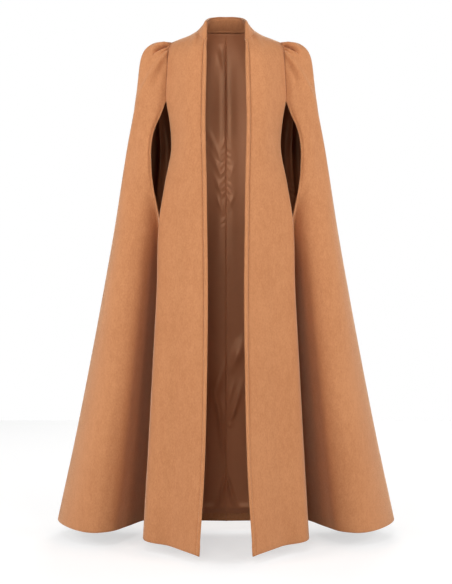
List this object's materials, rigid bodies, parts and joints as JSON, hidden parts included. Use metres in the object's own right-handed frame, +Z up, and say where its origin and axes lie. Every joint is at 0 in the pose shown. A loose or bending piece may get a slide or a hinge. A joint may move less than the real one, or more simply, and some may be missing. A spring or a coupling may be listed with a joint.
{
  "type": "cape coat",
  "caption": "Floor-length open-front wool cape coat with stand collar, pleated shoulders, arm slits and flared cape sides, holding its worn form.",
  "frame": {"origin": "the middle of the shoulder line, level with the two neck points, where the wearer's shoulders hold the garment", "axes": "+Z up, -Y towards the garment's front, +X towards the wearer's left"},
  "size_m": [1.036, 0.5588, 1.529],
  "materials": {
    "wool_front_left": "camel wool coating, soft matt nap",
    "wool_front_right": "camel wool coating, soft matt nap",
    "wool_front_band_left": "camel wool coating, turned and topstitched",
    "wool_front_band_right": "camel wool coating, turned and topstitched",
    "wool_cape_left": "camel wool coating, soft matt nap",
    "wool_cape_right": "camel wool coating, soft matt nap",
    "wool_back_left": "camel wool coating, soft matt nap",
    "wool_back_right": "camel wool coating, soft matt nap",
    "wool_collar": "camel wool coating, edge stitched",
    "wool_collar_facing": "camel wool coating, edge stitched",
    "satin_back_left": "brown satin, soft sheen",
    "satin_back_right": "brown satin, soft sheen",
    "satin_cape_left": "brown satin, soft sheen",
    "satin_cape_right": "brown satin, soft sheen"
  },
  "bodies": {
    "root": {"front_left": "wool_front_left", "front_right": "wool_front_right", "front_band_left": "wool_front_band_left", "front_band_right": "wool_front_band_right", "cape_left": "wool_cape_left", "cape_right": "wool_cape_right", "back_left": "wool_back_left", "back_right": "wool_back_right", "collar": "wool_collar", "collar_facing": "wool_collar_facing", "lining_back_left": "satin_back_left", "lining_back_right": "satin_back_right", "lining_cape_left": "satin_cape_left", "lining_cape_right": "satin_cape_right"}
  },
  "joints": []
}
